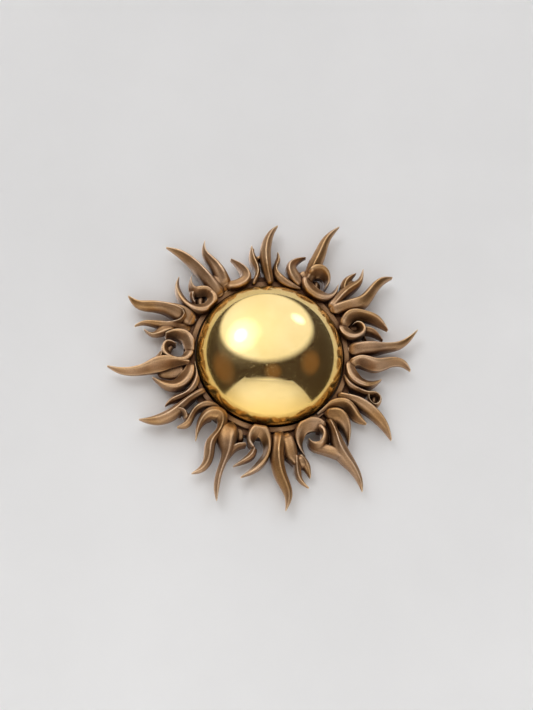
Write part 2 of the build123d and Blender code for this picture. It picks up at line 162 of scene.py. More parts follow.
# Glows all round, as (azimuth from the viewer's side, elevation, angle of full strength,
# angle where it ends, strength), in degrees: white light, and the warm room between
LIGHT_COLOUR = (0.99, 1.0, 1.01, 1.0)
LIGHT_GLOWS = [
    (-5, 45, 41, 49, 1.12),
    (-29, 27, 0, 9, 2.5),
    (-28, 28, 0, 22, 1.0),
    (-24, 32, 0, 44, 0.2),
    (40, 46, 0, 8, 1.5),
    (0, -65, 43, 49, 1.05),
    (180, 10, 30, 110, 0.16),
]
ROOM_COLOUR = (1.0, 0.50, 0.18, 1.0)
ROOM_GLOWS = [
    (-58, -8, 0, 24, 0.14),
    (46, 2, 0, 16, 0.16),
    (5, -11, 0, 11, 0.16),
    (0, 0, 60, 120, 0.03),
]

# Camera: angles in degrees, distances in metres, lens and sensor in millimetres
CAMERA_AZIMUTH = -6.5
CAMERA_ELEVATION = -20.5
CAMERA_DISTANCE = 1.7
CAMERA_AIM = (0, -0.014, 0)
CAMERA_LENS = 84.6
CAMERA_SENSOR = 36.0
CAMERA_SHIFT = (-0.0044, 0.0018)

# Each tongue of a flame is (crest, points). A point is (x, z, half width, front depth),
# from root to tip. Crest says where the ridge lies across the tongue: 0 is its middle,
# 1 its left edge and -1 its right edge, looking from root to tip. WEB marks low flat metal
# between tongues.
FLAMES = {
    "flame_01_spear": [
        (0.05, [(1, 76.8, 3, 22), (-3, 93, 5.2, 27), (-4.8, 112, 6, 26), (-1.6, 130, 4.7, 20),
         (4.2, 141.5, 2.3, 15), (9, 147.3, 0.4, 11)]),
    ],
    "flame_02_tongue": [
        (-0.3, [(33, 74, 0.8, 19), (18.5, 79, 4, 23), (7, 90, 3.8, 23), (5.6, 97, 2.9, 21),
         (8.8, 108, 2.6, 17), (8.5, 117.3, 0.5, 12)]),
    ],
    "flame_03_hook": [
        (0.45, [(33.5, 77.5, 3, 20), (24, 91, 7, 24), (22.8, 99.5, 5.8, 22), (28, 107, 3.2, 17),
         (38.6, 112.6, 0.4, 12)]),
        (WEB, [(30, 84, 5, 16), (36, 91.5, 5, 18), (41, 95, 3, 15)]),
    ],
    "flame_04_scroll_spear": [
        (0.1, [(37, 80, 4.5, 20), (45, 98, 7.2, 25), (52.8, 116, 6.4, 22), (60.5, 134, 4.1, 16),
         (74, 149.2, 0.5, 10)]),
        (-0.65, [(38.5, 89, 5, 24), (38.5, 80, 6.2, 26), (49, 68, 6.4, 25), (63.5, 69, 4.2, 21),
         (72, 83.3, 0.5, 14)]),
        (0.6, [(41, 87, 4.5, 26), (46, 93, 6, 28), (54.5, 93.5, 6, 26), (59.8, 85, 3.4, 22),
         (56.6, 75.6, 0.5, 17)]),
        (WEB, [(44, 82, 6, 13), (54, 80.5, 5.5, 13)]),
    ],
    "flame_05_fork": [
        (0.35, [(62, 52, 4.5, 20), (80, 57, 7.2, 25), (95, 62.3, 6.9, 25), (109, 79.3, 5, 20),
         (119, 89.2, 3.5, 16), (129.5, 93.3, 0.6, 11)]),
        (-0.2, [(62, 53.5, 4.5, 20), (82.5, 76.5, 5.4, 24), (93.5, 86, 3.4, 19),
         (98.6, 101.6, 0.5, 12)]),
        (0.1, [(77, 72, 4.5, 22), (79.8, 85, 4.3, 20), (91, 96.3, 0.4, 13)]),
        (WEB, [(77, 71, 4.5, 18), (82.5, 79.5, 5.5, 18.5), (86.5, 86, 4.6, 14.5),
         (88.5, 89.5, 3, 11)]),
    ],
    "flame_06_scroll": [
        (0.7, [(75, 33, 5, 22), (82.5, 45, 6, 27), (97, 47.6, 4.5, 24), (112, 43.3, 4.1, 19),
         (123.4, 34.6, 0.5, 11)]),
        (-0.75, [(74.5, 37, 4.5, 22), (76.5, 29.5, 5.5, 24), (88.5, 25, 5, 26),
         (95, 32.5, 3.9, 24), (90, 38.2, 1.8, 22), (85.5, 36.2, 0.4, 20)]),
        (0.5, [(93.5, 31, 2.6, 22), (104, 31.8, 3.2, 20), (118, 23, 0.5, 11)]),
        (0, [(95.5, 28.5, 1.8, 18), (101.5, 21, 0.7, 12)]),
        (WEB, [(80, 36, 4.5, 13), (88, 37.5, 6.5, 13), (100, 39.5, 4, 13)]),
    ],
    "flame_07_spear": [
        (0.45, [(80.5, 10.2, 6.8, 19), (101, 11.4, 7.6, 26), (117.5, 13.9, 4.8, 22),
         (134.5, 18, 3.7, 17), (154.6, 36.2, 0.5, 10)]),
    ],
    "flame_08_loop": [
        (0.6, [(81.5, -8, 4.6, 22), (91, -2.6, 4.6, 26), (107, -5.6, 6.2, 25),
         (125, -1.2, 4.5, 19), (138.5, -2, 3.1, 14), (146, -9.2, 0.5, 10)]),
        (-0.7, [(81.5, -3.5, 4, 22), (84, -17.5, 6, 25), (99, -26.6, 5.4, 23),
         (115.3, -19.6, 0.8, 12)]),
    ],
    "flame_09_curl": [
        (0, [(75.8, -17, 0.9, 18), (81.5, -28, 3, 22), (92, -34.3, 3.4, 22), (101, -37, 3, 22),
         (108, -37, 2.2, 21), (112.6, -42.5, 1.9, 20), (108.8, -48.6, 1.9, 19),
         (104.4, -48, 1, 18)]),
        (0, [(101, -37, 2.2, 21), (101, -43.5, 1.9, 20), (105.5, -48.4, 1.7, 18)]),
        (WEB, [(102, -42.7, 4.6, 13), (111.6, -42.7, 4.6, 13)]),
    ],
    "flame_10_spear": [
        (0.4, [(68.5, -39.3, 2.6, 19), (87, -45.8, 4.7, 25), (104, -56, 5.6, 22),
         (117, -70, 4.1, 16), (124.2, -84.8, 0.5, 10)]),
    ],
    "flame_11_tongue": [
        (0.55, [(47.5, -62.3, 1.2, 18), (61, -51.2, 3.6, 23), (77, -50, 5, 25),
         (88.5, -61, 4.6, 18), (99.2, -67.6, 0.6, 10)]),
    ],
    "flame_12_scroll_spear": [
        (0, [(58.5, -64.5, 4.5, 22), (64.8, -79, 4.6, 25), (70.5, -97, 7.6, 25),
         (83, -114.3, 5.3, 19), (91, -129.5, 2.7, 13), (93.2, -139.6, 0.4, 9)]),
        (0.5, [(55, -60.5, 3.5, 20), (68, -62.5, 8, 26), (77, -73.5, 5.6, 22),
         (79.6, -92, 0.4, 12)]),
        (-0.6, [(56, -78, 4, 24), (48.5, -73.5, 7, 25), (34.5, -76, 7.2, 25), (29.6, -90, 4.4, 20),
         (37, -105.6, 0.4, 11)]),
        (-0.65, [(47, -70.5, 5, 24), (56, -82, 4.4, 26), (50.5, -95, 5, 24),
         (41.8, -92.8, 2.6, 21), (38.6, -87.2, 0.4, 19)]),
        (WEB, [(44, -94.5, 4, 14), (57, -97.5, 5, 20), (69, -103, 4, 21), (78, -108.5, 3, 19)]),
        (WEB, [(59, -62, 5, 16), (66, -69, 4.5, 18), (70.5, -75.5, 2.6, 13)]),
    ],
    "flame_13_fork_spear": [
        (0.1, [(11, -80.5, 7.2, 20), (7.2, -101, 7.4, 26), (12, -127.5, 6, 20),
         (18.9, -146, 4, 14), (16.2, -161.6, 0.4, 9)]),
        (WEB, [(14, -82, 6.5, 20), (19.5, -96, 7.2, 21.5), (21.8, -105, 6.8, 20),
         (25.4, -112, 3.6, 18), (27.6, -119, 2.2, 15)]),
        (-0.3, [(27.5, -103.5, 2.8, 20), (28, -118, 3.8, 18), (31, -129, 2.4, 14),
         (40, -137.2, 0.4, 9)]),
        (0.3, [(28, -104, 3.5, 20), (36.3, -113.8, 4.2, 16), (41.2, -127, 0.3, 10)]),
        (WEB, [(29, -105, 3, 18), (32.2, -112, 4.4, 17), (33.4, -118, 3.2, 14)]),
    ],
    "flame_14_scroll": [
        (0.55, [(-14.5, -99, 2.2, 21), (-19.6, -92, 3.7, 24), (-12, -82, 7.4, 27),
         (-3, -94.5, 4.3, 26), (-7.4, -112, 4.1, 21), (-17.5, -121.5, 2.9, 16),
         (-28.6, -127.9, 0.5, 11)]),
        (0, [(-15, -97.5, 3, 21), (-17.5, -104.5, 4, 19), (-27, -112, 2.5, 15),
         (-36.6, -117.1, 0.4, 10)]),
    ],
    "flame_15_spear": [
        (0.35, [(-37.5, -73, 6.8, 20), (-42.8, -87.5, 10.8, 25), (-43.6, -102, 6.2, 22),
         (-49.6, -123, 3.3, 16), (-52.6, -144, 2.3, 12), (-52.2, -153.3, 0.5, 9)]),
        (0.4, [(-45.5, -113, 3, 15), (-40.2, -105, 3, 18), (-33.5, -98, 2.8, 20),
         (-23.6, -95.2, 1.6, 19)]),
        (WEB, [(-31, -78, 4.5, 13), (-30, -93, 4.5, 13)]),
    ],
    "flame_16_hook_spear": [
        (0.1, [(-73.6, -91.6, 0.4, 12), (-70.8, -76.5, 3.1, 20), (-61, -65.3, 6, 26),
         (-50, -66.3, 6.4, 26), (-49.5, -79, 4.2, 23), (-58.8, -94, 5.2, 21),
         (-61.2, -110.5, 4.9, 17), (-68, -121.3, 3.2, 13), (-77.5, -126, 0.5, 10)]),
    ],
    "flame_17_spear": [
        (-0.2, [(-65, -39, 3, 19), (-81.5, -51, 3.9, 25), (-97, -65, 5.8, 23),
         (-115.5, -72.3, 4.4, 16), (-131.2, -71.6, 0.4, 9)]),
        (WEB, [(-93, -60, 5, 14), (-89.5, -67, 3.5, 12)]),
    ],
    "flame_18_tongue": [
        (-0.3, [(-50, -58.6, 1.8, 19), (-62, -55.2, 3.2, 23), (-77, -64.2, 3.4, 23),
         (-83, -74.4, 3.6, 18), (-92.8, -77.8, 0.5, 10)]),
        (0, [(-83.5, -72, 2.3, 20), (-86, -64.6, 2.3, 25), (-92.6, -62.2, 0.9, 25)]),
    ],
    "flame_19_sliver": [
        (-0.2, [(-76.2, -8.5, 0.7, 18), (-74.6, -30, 3.4, 22), (-85, -44.5, 3.8, 20),
         (-99.5, -51, 2.6, 14), (-105.3, -56.3, 0.4, 10)]),
    ],
    "flame_20_scoop_spear": [
        (-0.6, [(-80.5, -12, 1.8, 22), (-97, -11.5, 4.6, 25), (-113, -14.2, 7.8, 24),
         (-126, -18.8, 5.4, 20), (-138, -21.5, 4.2, 16), (-152, -20.8, 2.9, 12),
         (-164.6, -16.5, 0.5, 9)]),
        (0.75, [(-80.5, -12.5, 3, 22), (-82.5, -22, 5.8, 25), (-94.5, -34.4, 6.4, 22),
         (-108, -32.2, 3.7, 16), (-118.6, -26, 0.5, 11)]),
        (WEB, [(-84, -18, 5, 16), (-100, -21, 6, 10), (-113, -22, 4, 10)]),
        (0, [(-118.5, -13.5, 4, 18), (-111.5, -7, 5, 20), (-109.5, -0.5, 3, 19)]),
    ],
    "flame_21_scroll": [
        (-0.75, [(-81.5, -2, 5.2, 24), (-82.2, 6, 6, 26), (-87, 15.5, 5.6, 26), (-96, 19, 4, 24),
         (-106.5, 18, 2, 19)]),
        (0.7, [(-80.5, 3, 5, 24), (-86, -6.4, 4.2, 25), (-97, -7.2, 3.4, 24), (-106.6, 0, 4.2, 23),
         (-104.6, 8.6, 3, 21), (-95, 8.4, 0.5, 18)]),
        (WEB, [(-104, -1, 3, 14), (-102, 4.5, 2.8, 14), (-97.5, 7.5, 1, 14)]),
    ],
    "flame_22_claw": [
        (-0.45, [(-76, 33.5, 7, 19), (-92, 41.5, 9, 25), (-105, 46.8, 5.8, 23),
         (-120, 49.8, 5.4, 18), (-135, 51.6, 4, 14), (-145.6, 60.8, 0.4, 9)]),
        (-0.3, [(-80, 28, 4.5, 13), (-100, 28.8, 4.6, 20), (-119, 31.4, 3, 16),
         (-131, 31.4, 1.7, 13), (-138.3, 28, 0.4, 10)]),
        (0.5, [(-96, 27.5, 5, 19), (-107.5, 24.8, 5.4, 19), (-119.8, 20, 2, 14),
         (-128.8, 25.8, 0.3, 10)]),
        (0, [(-112, 49.5, 0.8, 17), (-104, 48.3, 2, 23), (-95, 45.6, 2.8, 26), (-88.8, 40, 3, 26),
         (-91.5, 33.6, 2.8, 25), (-100, 31.2, 1.8, 22), (-111, 31.6, 0.6, 16)]),
    ],
    "flame_23_scroll": [
        (0.65, [(-65.5, 67, 3.4, 23), (-59.5, 58.5, 5.6, 25), (-65, 48.6, 5.4, 26),
         (-80, 49, 5, 25), (-92, 62, 3.8, 20), (-95.4, 76, 2.1, 14), (-93.6, 84.8, 0.4, 11)]),
        (-0.6, [(-59.5, 61, 4.5, 23), (-66, 67, 4.6, 24), (-77, 67.2, 4.6, 22),
         (-81.7, 76, 2.3, 16), (-80.8, 86.3, 0.4, 12)]),
        (0, [(-79, 69, 4, 20), (-79.5, 59, 2.4, 18), (-77, 53.5, 0.8, 20)]),
        (WEB, [(-77, 57, 6, 13), (-65, 57, 6, 13)]),
    ],
    "flame_24_twin_spear": [
        (-0.35, [(-44.5, 70.8, 7.5, 20), (-52, 87, 7.6, 25), (-60.5, 101.5, 5.5, 20),
         (-68, 113.5, 2.8, 15), (-67.8, 126.3, 0.4, 11)]),
        (-0.35, [(-50, 62.5, 7, 20), (-65.5, 81.5, 6.2, 25), (-79.5, 98.6, 4.9, 20),
         (-94.5, 110.6, 3.6, 14), (-108, 116.8, 0.4, 9)]),
        (0, [(-63.5, 69.5, 1.6, 20), (-68.2, 80, 0.5, 18)]),
        (WEB, [(-46, 67, 9, 18), (-53, 78, 9, 21), (-57.5, 86, 7, 18), (-60.5, 91.5, 4.5, 12)]),
    ],
    "flame_25_hook": [
        (-0.4, [(-47, 75.5, 4.5, 21), (-35.5, 75.2, 5.2, 25), (-25.3, 82, 5.5, 27),
         (-27.2, 94, 4.2, 21), (-40.8, 107.3, 0.4, 12)]),
    ],
    "flame_26_fork": [
        (-0.1, [(-18.5, 76.5, 2.2, 20), (-13, 91, 3, 23), (-17.2, 107.5, 4, 19),
         (-18.7, 123.3, 0.4, 12)]),
        (0, [(-17.5, 108, 2.6, 17), (-16.3, 119.7, 0.3, 12)]),
        (WEB, [(-15, 106.5, 2.4, 16), (-5, 111, 2.6, 16)]),
    ],
}


def smooth_line(points, step):
    """Points along a smooth curve through the given ones, about step apart, and its tangents."""
    points = np.array(points, float)
    lengths = np.linalg.norm(np.diff(points[:, :2], axis=0), axis=1)
    count = len(points)
    matrix = np.zeros((count, count))
    sides = np.zeros((count, points.shape[1]))
    matrix[0, :2] = 2, 1
    sides[0] = 3 * (points[1] - points[0]) / lengths[0]
    matrix[-1, -2:] = 1, 2
    sides[-1] = 3 * (points[-1] - points[-2]) / lengths[-1]
    for i in range(1, count - 1):
        before, after = lengths[i - 1], lengths[i]
        matrix[i, i - 1:i + 2] = 1 / before, 2 / before + 2 / after, 1 / after
        slope_before = (points[i] - points[i - 1]) / before ** 2
        slope_after = (points[i + 1] - points[i]) / after ** 2
        sides[i] = 3 * (slope_before + slope_after)
    slopes = np.linalg.solve(matrix, sides)
    line = []
    for i in range(count - 1):
        steps = max(3, int(lengths[i] / step))
        for u in np.linspace(0, 1, steps, endpoint=False):
            line.append(
                (2 * u ** 3 - 3 * u ** 2 + 1) * points[i]
                + (u ** 3 - 2 * u ** 2 + u) * lengths[i] * slopes[i]
                + (3 * u ** 2 - 2 * u ** 3) * points[i + 1]
                + (u ** 3 - u ** 2) * lengths[i] * slopes[i + 1]
            )
    line.append(points[-1])
    line = np.array(line)
    along = np.gradient(line[:, :2], axis=0)
    along /= np.linalg.norm(along, axis=1)[:, None]
    return line, along


def lift(radius):
    """How far the flames lean out from the wall at this radius."""
    return LEAN * max(0.0, radius - SEAT_RADIUS)


def rear_depth(radius):
    """How far out from the wall a flame's back is, at this radius."""
    if radius < COLLAR_RADIUS:
        return COLLAR_DEPTH
    if radius < SEAT_RADIUS:
        return SEAT_DEPTH
    return REAR_DEPTH + lift(radius)


def edge_base(radius):
    """The depth that a flame's edges rise from: level with the collar, then easing down."""
    share = min(1.0, max(0.0, (radius - COLLAR_RADIUS) / EDGE_RUN))
    ease = share * share * (3 - 2 * share)
    return COLLAR_DEPTH + (REAR_DEPTH + lift(radius) - COLLAR_DEPTH) * ease


def front_share(across, crest):
    """The front's height at a place across a tongue, from 0 at the edges to 1 on the ridge."""
    if crest == WEB:
        return 1 - WEB_FALL * across ** WEB_POWER
    side = 1 - crest if across > crest else 1 + crest
    fall = abs(across - crest) / side
    if side < NARROW_SIDE:
        return math.sqrt(1 - fall ** 2)
    if abs(crest) > BAND_CREST:
        inner = max(0.0, fall - RIM_SHARE) / (1 - RIM_SHARE)
        wall = (1 - inner ** HOLLOW_POWER) ** RIM_POWER
        return HOLLOW_FLOOR + (1 - HOLLOW_FLOOR) * wall
    ridge = max(0.0, 1 - fall / RIDGE_SHARE) ** RIDGE_POWER
    return (1 - RIDGE_HEIGHT) * math.sqrt(1 - fall ** FLANK_POWER) + RIDGE_HEIGHT * ridge


def seated(x, z, depth):
    """A point of a flame, moved if need be clear of the collar and the ring's seat, and rounded
    down towards the dome."""
    radius = math.hypot(x, z)
    if radius < INNER_RADIUS:
        x, z = x * INNER_RADIUS / radius, z * INNER_RADIUS / radius
        radius = INNER_RADIUS
    if radius < INNER_RADIUS + CROWN_REACH:
        share = min(1.0, (radius - INNER_RADIUS) / CROWN_REACH)
        crown = CROWN_HEIGHT * math.sqrt(1 - (1 - share) ** 2)
        depth = min(depth, COLLAR_DEPTH + CROWN_LIP + crown)
    if radius < COLLAR_RADIUS:
        depth = max(depth, COLLAR_DEPTH)
    elif radius < SEAT_RADIUS:
        depth = max(depth, SEAT_DEPTH)
    return x, z, depth


def tongue_mesh(crest, points):
    """One tongue as a closed skin: a shaped front, a flat back, and a rounded edge and root."""
    line, along = smooth_line(points, SECTION_STEP)
    steps = np.linalg.norm(np.diff(line[:, :2], axis=0), axis=1)
    travelled = np.concatenate([[0], np.cumsum(steps)])
    turn = np.unwrap(np.arctan2(along[:, 1], along[:, 0]))
    bend = np.convolve(np.gradient(turn, travelled), np.ones(BEND_SPAN) / BEND_SPAN, "same")
    samples = range(-HALF_SAMPLES, HALF_SAMPLES + 1)
    places = [math.sin(math.pi / 2 * i / HALF_SAMPLES) for i in samples]
    verts = []
    for i in range(len(line)):
        x, z, half_width, front = line[i]
        dx, dz = along[i]
        half_width = max(half_width, LEAST_HALF_WIDTH)
        from_end = travelled[i]
        if crest == WEB:
            from_end = min(from_end, travelled[-1] - from_end)
        nose = min(1.0, from_end / (NOSE_SHARE * line[0, 2]) + NOSE_BLUNTNESS)
        fullness = math.sqrt(1 - (1 - nose) ** 2)
        radius = math.hypot(x, z)
        front += FRONT_LEAN * lift(radius)
        rear = min(rear_depth(radius), front - LEAST_THICKNESS)
        front = rear + (front - rear) * (ROOT_HEIGHT + (1 - ROOT_HEIGHT) * fullness)
        base = min(edge_base(radius), front - LEAST_THICKNESS)
        edge = base + (front - base) * EDGE_SHARE
        reach = TURN_SHARE / max(abs(bend[i]), LEAST_BEND)
        section = []
        for across in places:
            section.append((across, edge + (front - edge) * front_share(across, crest)))
        for across, share in BACK_OUTLINE:
            section.append((across, rear + share * (edge - rear)))
        for across, depth in section:
            offset = across * half_width * fullness
            if offset * bend[i] > 0:
                offset = math.copysign(min(abs(offset), reach), offset)
            px, pz, depth = seated(x - dz * offset, z + dx * offset, depth)
            verts.append((px * MM, -depth * MM, pz * MM))
    size = len(places) + len(BACK_OUTLINE)
    faces = []
    for i in range(len(line) - 1):
        for j in range(size):
            k = (j + 1) % size
            faces.append((i * size + j, i * size + k, (i + 1) * size + k, (i + 1) * size + j))
    faces.append(tuple(range(size - 1, -1, -1)))
    faces.append(tuple(range((len(line) - 1) * size, len(line) * size)))
    return verts, faces


def new_object(name, verts, faces):
    mesh = bpy.data.meshes.new(name)
    mesh.from_pydata(verts, [], faces)
    mesh.validate()
    obj = bpy.data.objects.new(name, mesh)
    bpy.context.collection.objects.link(obj)
    return obj


def apply_modifiers(obj):
    graph = bpy.context.evaluated_depsgraph_get()
    made = bpy.data.meshes.new_from_object(obj.evaluated_get(graph))
    obj.modifiers.clear()
    obj.data = made


def flame(name):
    """A flame as one casting: its tongues fused by a remesh, softened, and fitted to the ring."""
    verts = []
    faces = []
    for crest, points in FLAMES[name]:
        new_verts, new_faces = tongue_mesh(crest, points)
        start = len(verts)
        verts += new_verts
        faces += [tuple(i + start for i in face) for face in new_faces]
    obj = new_object(name.replace("flame", "cast_flame"), verts, faces)
    remesh = obj.modifiers.new("fuse", "REMESH")
    remesh.mode = "VOXEL"
    remesh.voxel_size = VOXEL_SIZE * MM
    soften = obj.modifiers.new("soften", "SMOOTH")
    soften.factor = SOFTEN_FACTOR
    soften.iterations = SOFTEN_PASSES
    apply_modifiers(obj)
    for vertex in obj.data.vertices:
        x, z, depth = seated(vertex.co.x / MM, vertex.co.z / MM, -vertex.co.y / MM)
        vertex.co = (x * MM, -depth * MM, z * MM)
    obj.data.update()
    obj.data.shade_smooth()
    obj.data.materials.append(bronze)
    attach(obj, "root")
    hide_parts(name)


class Nodes:
    """A short way to build a material, where each call adds a node."""

    def __init__(self, name):
        self.material = bpy.data.materials.new(name)
        self.material.use_nodes = True
        self.tree = self.material.node_tree
        self.tree.nodes.clear()

    def add(self, kind, settings=None, **inputs):
        """A new node. An input goes by its name, with _ for a space, or its number, as in i0."""
        node = self.tree.nodes.new(kind)
        for key, value in (settings or {}).items():
            setattr(node, key, value)
        for key, value in inputs.items():
            numbered = key[0] == "i" and key[1:].isdigit()
            socket = node.inputs[int(key[1:]) if numbered else key.replace("_", " ")]
            if isinstance(value, bpy.types.NodeSocket):
                self.tree.links.new(value, socket)
            else:
                socket.default_value = value
        return node

    def ramp(self, fac, *stops):
        """A colour ramp through stops, each (place, colour)."""
        node = self.add("ShaderNodeValToRGB", Fac=fac)
        elements = node.color_ramp.elements
        for element, (place, colour) in zip(elements, (stops[0], stops[-1])):
            element.position = place
            element.color = (*colour, 1)
        for place, colour in stops[1:-1]:
            elements.new(place).color = (*colour, 1)
        return node.outputs["Color"]

    def place(self):
        return self.add("ShaderNodeTexCoord").outputs["Object"]

    def noise(self, scale, detail=4.0, roughness=0.55):
        inputs = {"Scale": scale, "Detail": detail, "Roughness": roughness}
        return self.add("ShaderNodeTexNoise", Vector=self.place(), **inputs).outputs["Fac"]

    def math(self, operation, first, second):
        node = self.add("ShaderNodeMath", {"operation": operation}, i0=first, i1=second)
        return node.outputs[0]

    def mix(self, fac, first, second, blend="MIX"):
        settings = {"data_type": "RGBA", "blend_type": blend}
        return self.add("ShaderNodeMix", settings, i0=fac, i6=first, i7=second).outputs[2]

    def spread(self, value, low, high):
        """A value from 0 to 1, spread from low to high."""
        return self.add("ShaderNodeMapRange", Value=value, To_Min=low, To_Max=high).outputs[0]

    def between(self, value, start, end):
        """0 up to start, rising to 1 at end."""
        return self.add("ShaderNodeMapRange", Value=value, From_Min=start, From_Max=end).outputs[0]

    def bump(self, height, strength, distance, **inputs):
        inputs.update(Strength=strength, Distance=distance, Height=height)
        return self.add("ShaderNodeBump", **inputs).outputs[0]

    def principled(self, **inputs):
        return self.add("ShaderNodeBsdfPrincipled", **inputs)

    def finish(self, shader):
        self.add("ShaderNodeOutputMaterial", Surface=shader.outputs[0])
        return self.material


def antique_bronze(name, rubbed, full_grime_and_shade, bare):
    """Aged bronze, dark with grime and painted shade where it is shut in. Where rubbed is set, it
    is pale on the ridges too, as handling leaves it. full_grime_and_shade and bare are the open
    shares of sky at which the grime and painted shade is full and gone."""
    n = Nodes(name)
    cloud = n.noise(55.0)
    grain = n.noise(900.0, detail=3.0)
    worn = n.math("MULTIPLY", n.math("SUBTRACT", cloud, NOISE_MIDDLE), CLOUD_WEAR)
    worn = n.math("ADD", PLAIN_WEAR, worn)
    if rubbed:
        curve = n.add("ShaderNodeNewGeometry").outputs["Pointiness"]
        worn = n.math("ADD", n.math("SUBTRACT", worn, PLAIN_WEAR), curve)
    base = n.ramp(
        worn,
        (0.43, (0.045, 0.024, 0.011)),
        (0.472, (0.18, 0.10, 0.05)),
        (0.50, (0.40, 0.24, 0.122)),
        (0.525, (0.70, 0.47, 0.27)),
        (0.56, (0.95, 0.78, 0.56)),
    )
    # Grime and painted shade: ambient occlusion darkens the corners and the places between parts
    sky = n.add("ShaderNodeAmbientOcclusion", {"samples": 8}, Distance=GRIME_AND_SHADE_REACH).outputs["AO"]
    grime_and_shade = n.ramp(sky, (full_grime_and_shade, (0.2, 0.135, 0.1)), (bare, (1.0, 1.0, 1.0)))
    patches = n.noise(28.0, detail=2.0)
    tone = n.ramp(patches, (0.35, (1.02, 0.93, 0.72)), (0.62, (1.0, 1.01, 1.1)))
    speck = n.ramp(grain, (0.35, (0.82, 0.8, 0.78)), (0.65, (1.08, 1.06, 1.04)))
    colour = base
    for layer in (tone, grime_and_shade, speck):
        colour = n.mix(1.0, colour, layer, "MULTIPLY")
    rough = n.spread(cloud, 0.30, 0.50)
    relief = n.bump(n.math("ADD", grain, cloud), strength=0.18, distance=0.0006)
    return n.finish(n.principled(Base_Color=colour, Metallic=0.75, Roughness=rough, Normal=relief))


def polished_brass():
    """Mirror-polished brass, faintly wavy and finely pitted, hazy, with a painted amber reflection
    at the rim, and painted shade making it dark where it goes down behind the ring."""
    n = Nodes("polished_brass")
    haze = n.noise(18.0, detail=5.0)
    wave = n.noise(30.0, detail=2.0)
    specks = n.noise(800.0, detail=1.0)
    pits = n.ramp(specks, (0.67, (0.0, 0.0, 0.0)), (0.78, (1.0, 1.0, 1.0)))
    height = n.add("ShaderNodeSeparateXYZ", Vector=n.place()).outputs["Y"]
    # Painted reflection: amber is mixed into the brass towards the rim
    rim = n.between(height, *(-depth * MM for depth in REFLECTION_DEPTHS))
    # Painted shade: the brass goes dark where the dome goes down behind the ring
    crevice_shade = n.between(height, *(-depth * MM for depth in CREVICE_SHADE_DEPTHS))
    bare = n.ramp(haze, (0.3, (0.86, 0.63, 0.25)), (0.7, (0.94, 0.73, 0.35)))
    reflection_tinted = n.mix(n.math("MULTIPLY", rim, REFLECTION_SHARE), bare, PAINTED_RIM_REFLECTION)
    colour = n.mix(crevice_shade, reflection_tinted, CREVICE_SHADE)
    polish = n.spread(haze, 0.03, 0.07)
    rough = n.math("ADD", polish, n.math("MULTIPLY", rim, AMBER_ROUGHNESS))
    relief = n.bump(wave, strength=0.14, distance=0.001)
    pitted = n.bump(pits, strength=1.0, distance=0.00004, Normal=relief)
    return n.finish(n.principled(Base_Color=colour, Metallic=0.94, Roughness=rough, Normal=pitted))


def plain_metal(name, dark, light, metallic, roughness, scale):
    """Painted or plated metal, slightly mottled and finely grained. Roughness is (low, high)."""
    n = Nodes(name)
    cloud = n.noise(scale)
    grain = n.noise(scale * GRAIN_FINENESS, detail=2.0)
    colour = n.ramp(cloud, (0.3, dark), (0.7, light))
    rough = n.spread(cloud, *roughness)
    relief = n.bump(grain, strength=0.15, distance=0.0003)
    surface = {"Base_Color": colour, "Metallic": metallic, "Roughness": rough, "Normal": relief}
    return n.finish(n.principled(**surface))


def felt_material():
    """Dark matted felt."""
    n = Nodes("felt")
    fibre = n.noise(1400.0, detail=6.0, roughness=0.8)
    cloud = n.noise(90.0)
    matted = n.math("MULTIPLY", fibre, cloud)
    colour = n.ramp(matted, (0.15, (0.02, 0.018, 0.016)), (0.4, (0.11, 0.1, 0.09)))
    relief = n.bump(fibre, strength=0.7, distance=0.0006)
    cloth = n.principled(Base_Color=colour, Roughness=0.95, Sheen_Weight=0.4, Normal=relief)
    return n.finish(cloth)


def lathe(name, profile, segments):
    """A closed turned shell about the Y axis, from (radius, depth) points in millimetres."""
    verts = []
    faces = []
    starts = []
    for radius, depth in profile:
        starts.append(len(verts))
        if radius == 0:
            verts.append((0, -depth * MM, 0))
            continue
        for i in range(segments):
            angle = 2 * math.pi * i / segments
            x, z = radius * math.cos(angle), radius * math.sin(angle)
            verts.append((x * MM, -depth * MM, z * MM))
    for p in range(len(profile) - 1):
        a, b = starts[p], starts[p + 1]
        for i in range(segments):
            j = (i + 1) % segments
            if profile[p][0] == 0:
                faces.append((a, b + i, b + j))
            elif profile[p + 1][0] == 0:
                faces.append((a + j, a + i, b))
            else:
                faces.append((a + i, b + i, b + j, a + j))
    return new_object(name, verts, faces)


def dome():
    """The polished dome, as a fine mesh of the CAD shell, so that its reflections run smooth."""
    low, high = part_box("sun_dome")
    apex = -low.y / MM
    rear = -high.y / MM
    flange_radius = high.x / MM
    rim_depth = apex - DOME_RISE
    inner_radius = DOME_RADIUS - DOME_WALL
    inner_rise = DOME_RISE - DOME_WALL
    turns = [math.pi / 2 * i / DOME_RINGS for i in range(DOME_RINGS + 1)]
    profile = [(0, apex)]
    for turn in turns[1:]:
        profile.append((DOME_RADIUS * math.sin(turn), rim_depth + DOME_RISE * math.cos(turn)))
    profile.append((DOME_RADIUS, rear + DOME_WALL))
    profile.append((flange_radius, rear + DOME_WALL))
    profile.append((flange_radius, rear))
    profile.append((inner_radius, rear))
    for turn in turns[:0:-INNER_RING_STEP]:
        profile.append((inner_radius * math.sin(turn), rim_depth + inner_rise * math.cos(turn)))
    profile.append((0, apex - DOME_WALL))
    obj = lathe("polished_dome", profile, DOME_SEGMENTS)
    obj.data.shade_smooth()
    obj.data.set_sharp_from_angle(angle=math.radians(SHARP_ANGLE))
    obj.data.materials.append(brass)
    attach(obj, "root")
    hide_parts("sun_dome")


bronze = antique_bronze("antique_bronze", rubbed=True, full_grime_and_shade=0.25, bare=0.75)
